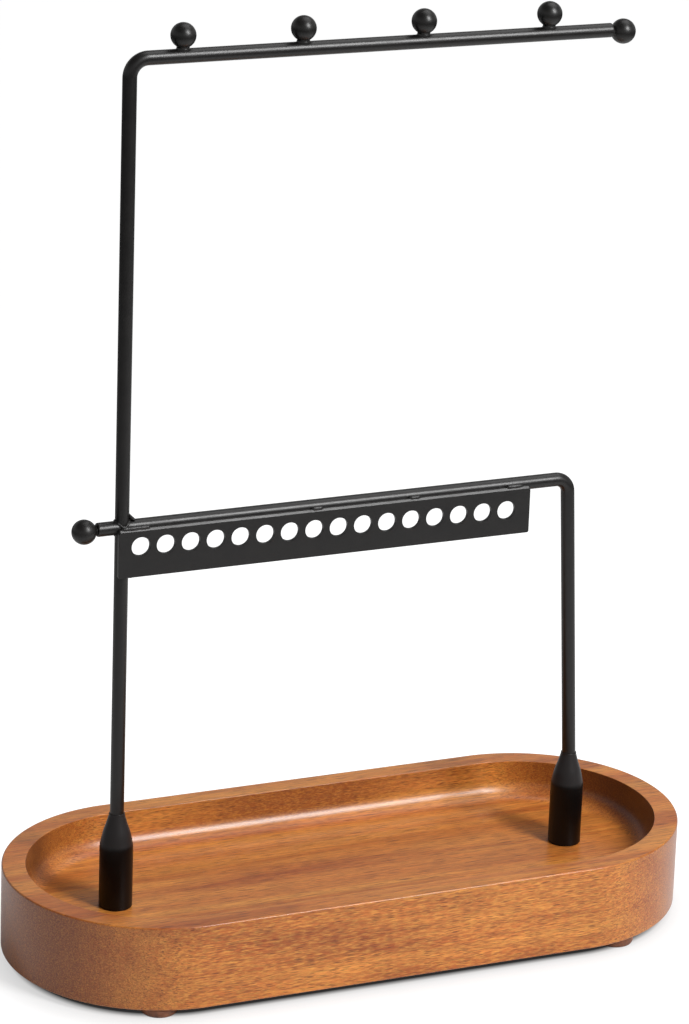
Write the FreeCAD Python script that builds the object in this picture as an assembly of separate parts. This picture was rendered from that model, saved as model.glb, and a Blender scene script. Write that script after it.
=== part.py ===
"""Jewellery stand: a bent-rod frame with an earring strip, standing in a wooden ring tray.

The tray is one milled piece of wood on four stick-on feet. Two bullet-shaped ferrules are
screwed to its floor from below, and the two legs of the frame push down into them. The
frame is three round rods butt-welded at one cross joint, with a punched strip tacked to the
front of the cross rod, four ball knobs along the top bar and one on each free rod end.

Axes: +X along the tray, +Y to the back, +Z up. The origin is on the table, under the
middle of the tray. All sizes are in millimetres.
"""
import FreeCAD, Part
import math
import os

# --- Driving dimensions -----------------------------------------------------------------

# Tray
tray_length = 185.0
tray_width = 79.5
tray_height = 22.75           # wood only, without the feet
rim_width = 6.2
well_depth = 10.15
cove_radius = 6.5             # round where the wall of the well runs into its floor
rim_break = 0.6               # sanded break of the outer top edge
rim_inner_break = 0.3         # and of the edge where the rim drops into the well
base_break = 0.5              # and of the outer bottom edge

# Feet
foot_diameter = 8.6
foot_height = 2.4
foot_flat_diameter = 7.0      # the part that touches the table
foot_bevel_height = 1.4
foot_end_inset = 28.7         # middle of a foot from the tray's end
foot_side_inset = 7.15        # and from its side

# Ferrules: bullet-shaped sockets
leg_inset = 28.7              # middle of a socket from the tray's end
ferrule_diameter = 8.65
ferrule_shoulder = 16.9       # straight part
ferrule_height = 25.8
ferrule_tip_diameter = 4.6
ferrule_lip = 0.5             # straight lip at the tip
ferrule_knee_diameter = 7.1   # the nose turns to its steeper and then its slimmer cone here
ferrule_knee_rise = 3.6       # above the shoulder
socket_depth = 15.0
socket_clearance = 0.05       # radial, between a leg and its socket
socket_mouth_chamfer = 0.2

# Base screws, countersunk, from below
screw_diameter = 3.0
screw_length = 16.0
screw_head_diameter = 5.6
screw_sink = 0.3              # head below the wood's underside
screw_hole_clearance = 0.2    # radial, in the wood
thread_clearance = 0.05       # radial, in the ferrule
thread_depth = 8.0
screw_key_size = 2.0          # hexagon across flats
screw_key_depth = 1.1

# Frame rods
rod_diameter = 3.6            # over the coat
cross_rod_rise = 103.2        # axis of the cross rod above the floor of the well
top_bar_rise = 222.9          # axis of the top bar above the floor of the well, at the post
top_bar_reach = 132.0         # from the post to the middle of the knob at the bar's end
top_bar_fall = 1.1            # the bar droops this much over that reach
top_bend_radius = 4.6         # to the rod's axis
side_reach = 10.0             # from the post to the middle of the side knob
right_bend_radius = 3.7
right_corner_inset = 4.6      # the right leg leans in: its top corner stands this far inboard
leg_set_radius = 7.0          # small bend where the right leg leaves its socket
leg_straight_above_tip = 0.4  # right leg stays upright this far out of the ferrule
rod_end_chamfer = 0.35

# Knobs
knob_diameter = 6.35
knob_rise = 5.1               # middle of a ball above the axis of the top bar
knob_neck_diameter = 3.2
knob_foot_diameter = 3.5
knob_offsets = (13.6, 45.0, 77.1, 111.3)   # along the top bar, from the post
end_neck_diameter = 2.6
end_neck_length = 0.35        # gap between a rod's end face and the ball, at the rod's edge
bar_end_knob_drop = 0.45      # the two end balls are welded on a little below the rods' axes
side_knob_drop = 0.2

# Earring strip
strip_length = 112.9
strip_height = 12.7
strip_thickness = 1.2
strip_top_rise = 0.1          # top edge above the axis of the cross rod
strip_corner_round = 0.5
strip_overhang = 0.0          # past the outer side of the left leg
hole_diameter = 5.0
hole_count = 16
hole_pitch = 6.69
first_hole_in = 5.9           # middle of the first hole from the strip's left end
first_hole_down = 4.7         # and from its top edge
hole_row_fall = 1.3           # the row runs down this much from its first hole to its last

# Welds
collar_height = 1.5           # fillet round the post and the left leg, beyond the cross rod
collar_spread = 1.5
collar_back_off = 0.6         # the lower fillet ends this far in front of the rods' middle
tack_radius = 0.85
tack_lift = 0.35              # middle of a tack above the strip's top edge
tacks = ((5.5, 6.0), (53.5, 3.0), (80.5, 3.0), (108.5, 4.5))   # middle along strip, length
corner_tack_radius = 1.3

# --- Derived places ---------------------------------------------------------------------

rod_radius = rod_diameter / 2
tray_bottom_z = foot_height
tray_top_z = tray_bottom_z + tray_height
well_floor_z = tray_top_z - well_depth
leg_x = tray_length / 2 - leg_inset
foot_x = tray_length / 2 - foot_end_inset
foot_y = tray_width / 2 - foot_side_inset
post_x = -leg_x
ferrule_tip_z = well_floor_z + ferrule_height
socket_bottom_z = ferrule_tip_z - socket_depth
cross_z = well_floor_z + cross_rod_rise
top_z = well_floor_z + top_bar_rise
right_corner_x = leg_x - right_corner_inset
strip_left_x = post_x - rod_radius - strip_overhang
strip_back_y = -rod_radius
strip_front_y = strip_back_y - strip_thickness
strip_top_z = cross_z + strip_top_rise
strip_bottom_z = strip_top_z - strip_height
knob_radius = knob_diameter / 2
end_neck_radius = end_neck_diameter / 2
# A rod ends where a ball that sits on its axis leaves the small neck uncovered
ball_to_rod_end = math.sqrt(knob_radius ** 2 - end_neck_radius ** 2) + end_neck_length

TOUCH = 1e-3                  # two places closer than this are the same place

UP = FreeCAD.Vector(0, 0, 1)
BACK = FreeCAD.Vector(0, 1, 0)


def at(x, y, z):
    """Point or vector in the stand's frame."""
    return FreeCAD.Vector(x, y, z)


# --- Shape helpers ----------------------------------------------------------------------

def oval(length, width, z):
    """Wire of a stadium: two straight sides joined by half circles, at height z."""
    radius = width / 2
    half = length / 2 - radius
    right = Part.Arc(at(half, -radius, z), at(half + radius, 0, z), at(half, radius, z))
    left = Part.Arc(at(-half, radius, z), at(-half - radius, 0, z), at(-half, -radius, z))
    edges = [
        Part.LineSegment(at(-half, -radius, z), at(half, -radius, z)).toShape(),
        right.toShape(),
        Part.LineSegment(at(half, radius, z), at(-half, radius, z)).toShape(),
        left.toShape(),
    ]
    return Part.Wire(edges)


def oval_block(length, width, z, height):
    """Solid stadium standing on height z."""
    return Part.Face(oval(length, width, z)).extrude(at(0, 0, height))


def flat_edges(shape, z):
    """Edges of a shape that lie wholly in the level plane at height z."""
    return [e for e in shape.Edges
            if abs(e.BoundBox.ZMin - z) < TOUCH and abs(e.BoundBox.ZMax - z) < TOUCH]


def turned(outline, x=0.0, y=0.0, z=0.0):
    """Solid of revolution about +Z from edges drawn in the XZ plane, moved to a place."""
    solid = Part.Face(Part.Wire(outline)).revolve(at(0, 0, 0), UP, 360)
    solid.translate(at(x, y, z))
    return solid


def chain(points):
    """Straight edges through points given as (radius, height) pairs in the XZ plane."""
    places = [at(r, 0, h) for r, h in points]
    return [Part.LineSegment(a, b).toShape() for a, b in zip(places, places[1:])]


def bent_path(points, radii):
    """Wire of straight runs through points, joined at each inner point by a tangent arc."""
    edges = []
    start = points[0]
    for corner, following, radius in zip(points[1:-1], points[2:], radii):
        arriving = (corner - start).normalize()
        leaving = (following - corner).normalize()
        turn = arriving.getAngle(leaving)
        tangent = radius * math.tan(turn / 2)
        arc_start = corner - arriving * tangent
        arc_end = corner + leaving * tangent
        inward = (leaving - arriving).normalize()
        arc_middle = corner + inward * (radius / math.cos(turn / 2) - radius)
        edges.append(Part.LineSegment(start, arc_start).toShape())
        edges.append(Part.Arc(arc_start, arc_middle, arc_end).toShape())
        start = arc_end
    edges.append(Part.LineSegment(start, points[-1]).toShape())
    return Part.Wire(edges)


def rod(points, radii=()):
    """Round rod along a bent path."""
    path = bent_path(points, radii)
    direction = points[1] - points[0]
    section = Part.Wire(Part.Circle(points[0], direction, rod_radius).toShape())
    return path.makePipeShell([section], True, False)


def chamfered_end(solid, end):
    """Break the sharp edge of a rod's end face."""
    rims = [e for e in solid.Edges
            if e.Closed and (e.BoundBox.Center - end).Length < TOUCH]
    return solid.makeChamfer(rod_end_chamfer, rims)


def bead(middle, length, radius):
    """Weld bead along X: a short bar with both ends tapered off to half its width."""
    half = length / 2 - radius
    along = at(1, 0, 0)
    solid = Part.makeCylinder(radius, 2 * half, middle - along * half, along)
    for side in (-1, 1):
        end = Part.makeCone(radius, radius / 2, radius, middle + along * (side * half), along * side)
        solid = solid.fuse(end)
    return solid


# --- Tray, feet, ferrules and screws ----------------------------------------------------

def screw_hole(x):
    """Clearance hole and countersink for one base screw, cut upward from the underside."""
    hole_radius = screw_diameter / 2 + screw_hole_clearance
    mouth_radius = screw_head_diameter / 2 + screw_sink
    sink_height = mouth_radius - hole_radius
    shaft = Part.makeCylinder(hole_radius, tray_height, at(x, 0, tray_bottom_z))
    sink = Part.makeCone(mouth_radius, hole_radius, sink_height, at(x, 0, tray_bottom_z))
    return shaft.fuse(sink)


def tray():
    """Oval tray with a coved well."""
    block = oval_block(tray_length, tray_width, tray_bottom_z, tray_height)
    block = block.makeChamfer(rim_break, flat_edges(block, tray_top_z))
    block = block.makeChamfer(base_break, flat_edges(block, tray_bottom_z))
    well_length = tray_length - 2 * rim_width
    well_width = tray_width - 2 * rim_width
    well = oval_block(well_length, well_width, well_floor_z, well_depth)
    cove = min(cove_radius, well_depth - 2 * rim_inner_break)
    well = well.makeFillet(cove, flat_edges(well, well_floor_z))
    wood = block.cut(well)
    inner = [e for e in flat_edges(wood, tray_top_z)
             if e.BoundBox.XMax < well_length / 2 + TOUCH and e.BoundBox.YMax < well_width / 2 + TOUCH]
    wood = wood.makeChamfer(rim_inner_break, inner)
    for x in (-leg_x, leg_x):
        wood = wood.cut(screw_hole(x))
    return wood


def foot(x, y):
    """Stick-on foot, a low button with a bevelled edge."""
    radius = foot_diameter / 2
    flat = foot_flat_diameter / 2
    outline = chain([(0, 0), (flat, 0), (radius, foot_bevel_height), (radius, foot_height),
                     (0, foot_height), (0, 0)])
    return turned(outline, x, y)


def ferrule(x):
    """Bullet-shaped socket: threaded below for the base screw, bored above for the leg."""
    outer = ferrule_diameter / 2
    tip = ferrule_tip_diameter / 2
    bore = rod_radius + socket_clearance
    nose_top = ferrule_height - ferrule_lip
    thread = screw_diameter / 2
    socket_floor = ferrule_height - socket_depth
    lead = bore + socket_mouth_chamfer
    knee = ferrule_knee_diameter / 2
    outline = chain([
        (thread, 0), (outer, 0), (outer, ferrule_shoulder),
        (knee, ferrule_shoulder + ferrule_knee_rise),
        (tip, nose_top), (tip, ferrule_height), (lead, ferrule_height),
        (bore, ferrule_height - socket_mouth_chamfer), (bore, socket_floor), (0, socket_floor),
        (0, thread_depth), (thread, thread_depth), (thread, 0)])
    return turned(outline, x, 0, well_floor_z)


def base_screw(x):
    """Countersunk screw, driven from below with a hexagon key."""
    head = screw_head_diameter / 2
    shank = screw_diameter / 2 - thread_clearance
    outline = chain([(0, 0), (head, 0), (shank, head - shank), (shank, screw_length),
                     (0, screw_length), (0, 0)])
    screw = turned(outline, x, 0, tray_bottom_z + screw_sink)
    corner = screw_key_size / math.sqrt(3)
    corners = [at(x + corner * math.cos(math.radians(60 * i)), corner * math.sin(math.radians(60 * i)),
                  tray_bottom_z + screw_sink) for i in range(7)]
    key = Part.Face(Part.makePolygon(corners)).extrude(at(0, 0, screw_key_depth))
    return screw.cut(key)


# --- Frame rods -------------------------------------------------------------------------

def cross_cutter():
    """Straight cylinder where the cross rod passes the post, for coping what meets it."""
    reach = 4 * rod_diameter
    return Part.makeCylinder(rod_radius, 2 * reach, at(post_x - reach, 0, cross_z), at(1, 0, 0))


def cross_rod():
    """Side stub, cross rod and right leg: one rod, bent down and set back upright in its socket."""
    side_end = at(post_x - side_reach + ball_to_rod_end, 0, cross_z)
    leg_end = at(leg_x, 0, socket_bottom_z)
    set_z = ferrule_tip_z + leg_straight_above_tip + leg_set_radius * lean() / 2
    points = [side_end, at(right_corner_x, 0, cross_z), at(leg_x, 0, set_z), leg_end]
    solid = rod(points, (right_bend_radius, leg_set_radius))
    return chamfered_end(chamfered_end(solid, side_end), leg_end)


def lean():
    """Angle of the right leg from upright, in radians."""
    return math.atan(right_corner_inset / (cross_z - ferrule_tip_z - leg_straight_above_tip))


def left_leg():
    """Straight leg, coped to the underside of the cross rod."""
    end = at(post_x, 0, socket_bottom_z)
    solid = chamfered_end(rod([end, at(post_x, 0, cross_z)]), end)
    return solid.cut(cross_cutter())


def bar_point(offset):
    """Point on the top bar's axis, this far along it from the post."""
    return at(post_x + offset, 0, top_z - top_bar_fall * offset / top_bar_reach)


def hanger_rod():
    """Post and top bar: one bent rod, its foot coped to the top of the cross rod."""
    bar_end = bar_point(top_bar_reach - ball_to_rod_end)
    solid = rod([at(post_x, 0, cross_z), at(post_x, 0, top_z), bar_end], (top_bend_radius,))
    return chamfered_end(solid, bar_end).cut(cross_cutter())


# --- Knobs ------------------------------------------------------------------------------

def top_knob(offset):
    """Ball on a short flared neck, saddled on the top bar."""
    seat = bar_point(offset)
    foot_z = rod_radius / 2
    neck_top = knob_rise - math.sqrt(knob_radius ** 2 - (knob_neck_diameter / 2) ** 2)
    neck = Part.makeCone(knob_foot_diameter / 2, knob_neck_diameter / 2, neck_top - foot_z,
                         seat + at(0, 0, foot_z))
    ball = Part.makeSphere(knob_radius, seat + at(0, 0, knob_rise))
    along = bar_point(top_bar_reach) - bar_point(0)
    along.normalize()
    reach = knob_diameter
    bar = Part.makeCylinder(rod_radius, 2 * reach, seat - along * reach, along)
    return ball.fuse(neck).cut(bar).removeSplitter()


def end_knob(centre, towards_rod, drop):
    """Ball with a thin neck that butts against a rod's end face, a little below its axis."""
    towards_rod.normalize()
    centre = centre - (UP - towards_rod * UP.dot(towards_rod)) * drop
    neck = Part.makeCylinder(end_neck_radius, ball_to_rod_end, centre, towards_rod)
    return Part.makeSphere(knob_radius, centre).fuse(neck).removeSplitter()


# --- Earring strip and welds ------------------------------------------------------------

def strip_hole_centre(index):
    """Middle of one earring hole, on the strip's back face."""
    fall = hole_row_fall * index / (hole_count - 1)
    x = strip_left_x + first_hole_in + index * hole_pitch
    return at(x, strip_back_y, strip_top_z - first_hole_down - fall)


def earring_strip():
    """Flat punched strip in front of the cross rod."""
    plate = Part.makeBox(strip_length, strip_thickness, strip_height,
                         at(strip_left_x, strip_front_y, strip_bottom_z))
    corners = [e for e in plate.Edges if e.BoundBox.XLength < TOUCH and e.BoundBox.ZLength < TOUCH]
    plate = plate.makeFillet(strip_corner_round, corners)
    for index in range(hole_count):
        centre = strip_hole_centre(index)
        plate = plate.cut(Part.makeCylinder(hole_diameter / 2, strip_thickness, centre, BACK * -1))
    return plate


def largest(shape):
    """Biggest solid of a cut shape, without the slivers."""
    return max(shape.Solids, key=lambda solid: solid.Volume)


def weld_collar(sign, start):
    """Fillet weld round the post (sign +1) or the left leg (sign -1), from height start."""
    height = rod_radius + collar_height
    base = rod_radius + collar_spread
    foot = at(post_x, 0, start)
    cone = Part.makeCone(base, rod_radius, height, foot, UP * sign)
    upright = Part.makeCylinder(rod_radius, height, foot, UP * sign)
    return cone.cut(upright).cut(cross_cutter())


def joint_welds():
    """Both fillet welds of the cross joint. The lower one stays behind the earring strip."""
    upper = weld_collar(1, strip_top_z)
    lower = weld_collar(-1, cross_z)
    behind = Part.makeBox(2 * strip_height, strip_height, strip_height,
                          at(post_x - strip_height, -collar_back_off, cross_z - strip_height))
    return Part.makeCompound(upper.Solids + lower.common(behind).Solids)


def strip_tacks(strip):
    """Tack welds along the strip's top edge, and one at its lower left corner."""
    cross = Part.makeCylinder(rod_radius, strip_length + 4 * rod_diameter,
                              at(strip_left_x - rod_diameter, 0, cross_z), at(1, 0, 0))
    upright = Part.makeCylinder(rod_radius + collar_spread, strip_height, at(post_x, 0, cross_z))
    leg = Part.makeCylinder(rod_radius, 2 * strip_height, at(post_x, 0, cross_z - 2 * strip_height))
    beads = []
    for middle, length in tacks:
        centre = at(strip_left_x + middle, strip_back_y, strip_top_z + tack_lift)
        tack = bead(centre, length, tack_radius)
        beads.append(largest(tack.cut(cross).cut(strip).cut(upright)))
    corner = Part.makeCylinder(corner_tack_radius, -strip_back_y,
                               at(post_x + rod_radius, strip_back_y, strip_bottom_z), BACK)
    beads.append(largest(corner.cut(leg).cut(strip)))
    return Part.makeCompound(beads)


# --- Assembly ---------------------------------------------------------------------------

def build():
    """All sub-parts by name."""
    parts = {"tray": tray()}
    for end, x in (("left", -foot_x), ("right", foot_x)):
        for side, y in (("front", -foot_y), ("back", foot_y)):
            parts[f"foot_{side}_{end}"] = foot(x, y)
    for end, x in (("left", -leg_x), ("right", leg_x)):
        parts[f"ferrule_{end}"] = ferrule(x)
        parts[f"base_screw_{end}"] = base_screw(x)
    parts["cross_rod"] = cross_rod()
    parts["left_leg"] = left_leg()
    parts["hanger_rod"] = hanger_rod()
    for number, offset in enumerate(knob_offsets, start=1):
        parts[f"top_knob_{number}"] = top_knob(offset)
    bar_end = bar_point(top_bar_reach)
    parts["bar_end_knob"] = end_knob(bar_end, bar_point(0) - bar_end, bar_end_knob_drop)
    parts["side_knob"] = end_knob(at(post_x - side_reach, 0, cross_z), at(1, 0, 0), side_knob_drop)
    strip = earring_strip()
    parts["earring_strip"] = strip
    parts["joint_welds"] = joint_welds()
    parts["strip_tacks"] = strip_tacks(strip)
    return parts


os.makedirs("parts", exist_ok=True)
for name, shape in build().items():
    shape.exportStep(f"parts/{name}.step")
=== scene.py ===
"""Jewellery stand: the looks of the oval wooden ring tray and of the bent-rod frame standing in it.

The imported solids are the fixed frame. Every visible piece is modelled at the place of its solid
and dressed in the finish of the real one. Lengths are in metres, with +X along the tray, +Y to the
back and +Z up. Sizes that the solids don't give are fields of each class, in millimetres.
"""

import logging
import math
import random
from dataclasses import dataclass, field
from enum import Enum
from typing import Callable, Sequence

import bmesh
import bpy
from bpy.types import Material, NodeSocket, NodeTree
from mathutils import Matrix, Vector


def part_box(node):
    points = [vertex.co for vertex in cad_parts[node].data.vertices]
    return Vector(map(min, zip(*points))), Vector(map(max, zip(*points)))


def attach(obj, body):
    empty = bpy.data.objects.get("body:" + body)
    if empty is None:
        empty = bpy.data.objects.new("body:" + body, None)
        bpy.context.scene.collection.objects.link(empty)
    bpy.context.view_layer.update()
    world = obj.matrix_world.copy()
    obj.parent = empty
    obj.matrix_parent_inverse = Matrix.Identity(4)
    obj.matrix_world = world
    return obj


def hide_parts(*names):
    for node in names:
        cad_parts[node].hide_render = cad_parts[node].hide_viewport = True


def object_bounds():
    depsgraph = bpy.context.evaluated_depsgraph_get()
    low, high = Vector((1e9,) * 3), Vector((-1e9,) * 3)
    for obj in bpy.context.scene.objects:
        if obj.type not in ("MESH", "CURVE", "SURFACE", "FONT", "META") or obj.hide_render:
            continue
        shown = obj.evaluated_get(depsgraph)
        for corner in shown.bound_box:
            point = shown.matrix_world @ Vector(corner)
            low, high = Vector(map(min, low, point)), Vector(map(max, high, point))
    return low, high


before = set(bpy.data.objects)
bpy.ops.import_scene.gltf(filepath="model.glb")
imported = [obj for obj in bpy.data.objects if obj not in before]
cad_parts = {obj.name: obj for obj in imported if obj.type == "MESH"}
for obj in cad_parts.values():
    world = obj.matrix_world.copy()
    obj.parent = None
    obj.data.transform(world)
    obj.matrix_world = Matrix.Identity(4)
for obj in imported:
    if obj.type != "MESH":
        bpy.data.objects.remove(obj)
CAD_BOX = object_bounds()

MM = 0.001
TOUCH = 0.01 * MM             # two places closer than this are the same place
SHOULDER = 16.9 * MM          # height at which a ferrule starts to narrow
BAR_FALL = 1.1 / 132          # droop of the top bar towards its free end
RIGHT = Vector((1, 0, 0))
UP = Vector((0, 0, 1))

log = logging.getLogger("jewellery_stand")

Test = Callable[[Sequence[Vector]], bool]     # asked of the corner points of an element
Pair = tuple[float, float]
Stops = Sequence[tuple[float, str]]           # positions on a colour ramp, and their hex colours
Round = tuple[float, int]                     # radius of an edge in millimetres, and its steps
Range = tuple[float, float, float, float]     # two values of a factor, and what they turn into


class Body(Enum):
    """The two bodies of the stand: what stays on the table, and what lifts out."""

    BASE = "base"
    FRAME = "frame"


class Slot(Enum):
    """The record's material slots of the pieces made here."""

    WOOD = "tray_wood"
    ROD = "rod_coat"
    KNOB = "knob_coat"
    STRIP = "strip_coat"
    FERRULE = "ferrule_black"
    FOOT = "foot_rubber"


class Element(Enum):
    """What a selection picks in edit mode."""

    VERTICES = "VERT"
    EDGES = "EDGE"
    FACES = "FACE"


# --- Places read from the frame ---


def low(node: str) -> Vector:
    """Lowest corner of a solid."""
    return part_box(node)[0]


def high(node: str) -> Vector:
    """Highest corner of a solid."""
    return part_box(node)[1]


def middle(node: str) -> Vector:
    """Middle of a solid's box."""
    return (low(node) + high(node)) / 2


def size(node: str) -> Vector:
    """Length, depth and height of a solid's box."""
    return high(node) - low(node)


# --- Finishes ---


def linear(code: str) -> tuple[float, float, float, float]:
    """Turn an sRGB hex colour into linear light.

    Args:
        code: Colour as "#rrggbb".

    Returns:
        Linear red, green, blue and an alpha of one.
    """
    channels = [int(code[i:i + 2], 16) / 255 for i in (1, 3, 5)]
    light = [c / 12.92 if c <= 0.04045 else ((c + 0.055) / 1.055) ** 2.4 for c in channels]
    return (*light, 1.0)


def add(tree: NodeTree, kind: str, inputs: Sequence[object] | dict[str | int, object] = (),
        out: str | int = 0, stops: Stops = (), **settings: object) -> NodeSocket | None:
    """Add a shader node with its settings and links.

    Args:
        tree: Node tree that takes the node.
        kind: Blender's name of the node type, without its "ShaderNode".
        inputs: Inputs in order, or by name or number. An output socket is linked to its input.
        out: Name or number of the output that is wanted.
        stops: Stops of a colour ramp, in rising order.
        settings: Properties of the node itself.

    Returns:
        The wanted output, or None where the node has no output.
    """
    node = tree.nodes.new("ShaderNode" + kind)
    for name, value in settings.items():
        setattr(node, name, value)
    for name, value in inputs.items() if isinstance(inputs, dict) else enumerate(inputs):
        if isinstance(value, NodeSocket):
            tree.links.new(value, node.inputs[name])
        else:
            node.inputs[name].default_value = value
    for index, (position, code) in enumerate(stops):
        elements = node.color_ramp.elements
        element = elements[index] if index < len(elements) else elements.new(position)
        element.position = position
        element.color = linear(code)
    return node.outputs[out] if node.outputs else None


def layers(tree: NodeTree, colour: object, *coats: tuple[str, object, object]) -> NodeSocket:
    """Lay coats of colour over a first one.

    Args:
        tree: Node tree that takes the nodes.
        colour: First colour.
        coats: How each further colour is laid on, its share, and the colour itself.

    Returns:
        The colour that the last coat leaves.
    """
    for way, share, coat in coats:
        colour = add(tree, "Mix", {0: share, 6: colour, 7: coat}, 2, data_type="RGBA",
                     blend_type=way)
    return colour


def cells(tree: NodeTree, length: float, width: float) -> NodeSocket:
    """Object coordinates counted in cells of a length along X and a width, in millimetres."""
    scale = (1 / (length * MM), 1 / (width * MM), 1 / (width * MM))
    return add(tree, "Mapping", {"Vector": add(tree, "TexCoord", out="Object"), "Scale": scale})


@dataclass(frozen=True)
class Streaks:
    """Uneven streaks along the tray, or spots where length and width are the same.

    Length and width are in millimetres. Detail counts the octaves of finer streaks within one,
    harshness is their strength, and wander is how far the streaks stray.
    """

    length: float
    width: float
    detail: float
    wander: float = 0.0
    harshness: float = 0.5

    def lay(self, tree: NodeTree) -> NodeSocket:
        """Lay the streaks in a node tree.

        Args:
            tree: Node tree that takes the nodes.

        Returns:
            The streaks' factor.
        """
        return add(tree, "TexNoise", {
            "Vector": cells(tree, self.length, self.width), "Scale": 1.0, "Detail": self.detail,
            "Roughness": self.harshness, "Distortion": self.wander})


@dataclass(frozen=True)
class Finish:
    """A surface of the real object, by the name of its material and of how it was made."""

    name: str

    def surface(self, tree: NodeTree) -> dict[str, object]:
        """Give the inputs of the surface, which each finish works out."""
        raise NotImplementedError(self.name)

    def build(self) -> Material:
        """Make the material.

        Returns:
            The material, ready for its pieces.
        """
        material = bpy.data.materials.new(self.name)
        material.use_nodes = True
        tree = material.node_tree
        tree.nodes.clear()
        add(tree, "OutputMaterial", (add(tree, "BsdfPrincipled", self.surface(tree)),))
        return material


@dataclass(frozen=True)
class LacqueredAcacia(Finish):
    """Acacia, shaped on a mill, sanded and sprayed with a clear satin lacquer.

    The eye gets warm orange-brown wood with grain along the tray: fine fibres and long open pores
    on the level faces, short dark ticks and golden mottling on the sides, a redder and darker end
    grain, and a soft sheen from the lacquer. The walls round the well are drawn darker, which is
    painted shade of the recess, and darkest at the round ends.
    """

    name: str = "acacia_satin_lacquer"
    heart_to_sap: Stops = ((0.33, "#ac551e"), (0.50, "#ca7732"), (0.68, "#db8e3f"))
    gold: str = "#e7a348"
    tick: str = "#5e2e12"
    end_grain: str = "#9b5023"
    # Painted shade: the well's walls and their gold speckles are drawn in these darker colours
    wall_painted_shade: str = "#8f4813"
    wall_gold_in_painted_shade: str = "#c37e2e"
    figure: Streaks = Streaks(120.0, 8.0, 3.0, 0.6, 0.55)
    ribbon: Streaks = Streaks(16.0, 7.0, 2.0, 0.4, 0.55)
    fibre: Streaks = Streaks(14.0, 0.45, 6.0, 0.0, 0.55)
    mottle: Streaks = Streaks(2.2, 0.55, 3.0, 0.0, 0.55)
    pore: Streaks = Streaks(2.6, 0.17, 2.0, 0.0, 0.55)
    speckle: Streaks = Streaks(0.9, 0.34, 2.0, 0.0, 0.55)
    short_vessel_mm: Pair = (3.6, 0.30)
    long_vessel_mm: Pair = (7.0, 0.40)
    mottling: Range = (0.42, 0.70, 0.0, 1.0)
    mottling_by_level: Range = (0.1, 0.8, 0.65, 0.15)
    ribbon_shade: Range = (0.3, 0.7, 0.90, 1.10)
    fibre_shade: Range = (0.3, 0.7, 0.74, 1.16)
    end_share: Range = (0.15, 0.80, 0.0, 0.9)
    end_gold: Range = (0.46, 0.64, 0.0, 0.26)
    end_ticks: Range = (0.50, 0.36, 0.0, 0.45)
    # Painted shade of the well's walls: how far it reaches, by how squarely they face inward
    wall_painted_shade_share: Range = (-0.62, -0.92, 0.0, 0.9)
    wall_speckles: Range = (0.40, 0.66, 0.0, 0.75)
    # Painted shade: the walls at the round ends are drawn darker still
    wall_painted_shade_at_ends: Range = (0.3, 1.0, 1.0, 0.28)
    vessel_fill: float = 0.42
    long_vessel_share: float = 0.90
    pores: Range = (0.52, 0.66, 0.0, 0.60)
    pores_by_level: Range = (0.2, 0.9, 1.0, 0.75)
    vessel_depth_mm: float = 0.03
    vessel_relief: float = 0.5
    roughness: float = 0.46
    uneven: float = 0.05
    gloss: float = 0.22
    lacquer: Pair = (0.70, 0.28)              # share of the coat, and its roughness

    def vessels(self, tree: NodeTree, cell: Pair) -> NodeSocket:
        """Cut vessels: one slim dark tick or none in each cell.

        Args:
            tree: Node tree that takes the nodes.
            cell: Length and width of a cell, in millimetres.

        Returns:
            A factor socket, up to one in a tick and nought between the ticks.
        """
        spots = add(tree, "TexVoronoi", {"Vector": cells(tree, *cell), "Scale": 1.0}, "Distance")
        tick = add(tree, "MapRange", (spots, self.vessel_fill / 2, self.vessel_fill, 1.0, 0.0),
                   interpolation_type="SMOOTHSTEP")
        chance = add(tree, "SeparateColor", (spots.node.outputs["Color"],), "Red")
        return add(tree, "Math", (tick, chance), operation="MULTIPLY")

    def inward(self, tree: NodeTree) -> NodeSocket:
        """Find the walls of the well, which face the middle of the tray and take its painted shade.

        Args:
            tree: Node tree that takes the nodes.

        Returns:
            Share of the painted shade of the walls.
        """
        place, normal = (add(tree, "TexCoord", out=name) for name in ("Object", "Normal"))
        level = add(tree, "VectorMath", (place, (1.0, 1.0, 0.0)), operation="MULTIPLY")
        outward = add(tree, "VectorMath", (level,), operation="NORMALIZE")
        facing = add(tree, "VectorMath", (outward, normal), "Value", operation="DOT_PRODUCT")
        return add(tree, "MapRange", (facing, *self.wall_painted_shade_share))

    def surface(self, tree: NodeTree) -> dict[str, object]:
        """Give the inputs of the lacquered wood.

        Args:
            tree: Node tree that takes the nodes.

        Returns:
            Inputs of the surface by name.
        """
        normal = add(tree, "TexCoord", out="Normal")
        end, level = (add(tree, "Math", (add(tree, "SeparateXYZ", (normal,), axis),),
                          operation="ABSOLUTE") for axis in "XZ")
        fibre = self.fibre.lay(tree)
        dots = self.speckle.lay(tree)
        gold, tick = linear(self.gold), linear(self.tick)

        def spread(factor: NodeSocket, limits: Range) -> NodeSocket:
            """Turn a factor's range into a share."""
            return add(tree, "MapRange", (factor, *limits))

        def both(way: str, *factors: object) -> NodeSocket:
            """Join two factors."""
            return add(tree, "Math", factors, operation=way)

        shade = spread(fibre, self.fibre_shade)
        cut_across = layers(
            tree, linear(self.end_grain), ("MULTIPLY", 1.0, shade),
            ("MIX", spread(dots, self.end_gold), gold),
            ("MIX", spread(dots, self.end_ticks), tick))
        # Painted shade: the well's walls take a darker colour, darker still at the round ends
        wall = layers(
            tree, linear(self.wall_painted_shade),
            ("MIX", spread(dots, self.wall_speckles), linear(self.wall_gold_in_painted_shade)),
            ("MULTIPLY", 1.0, spread(end, self.wall_painted_shade_at_ends)))

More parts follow.
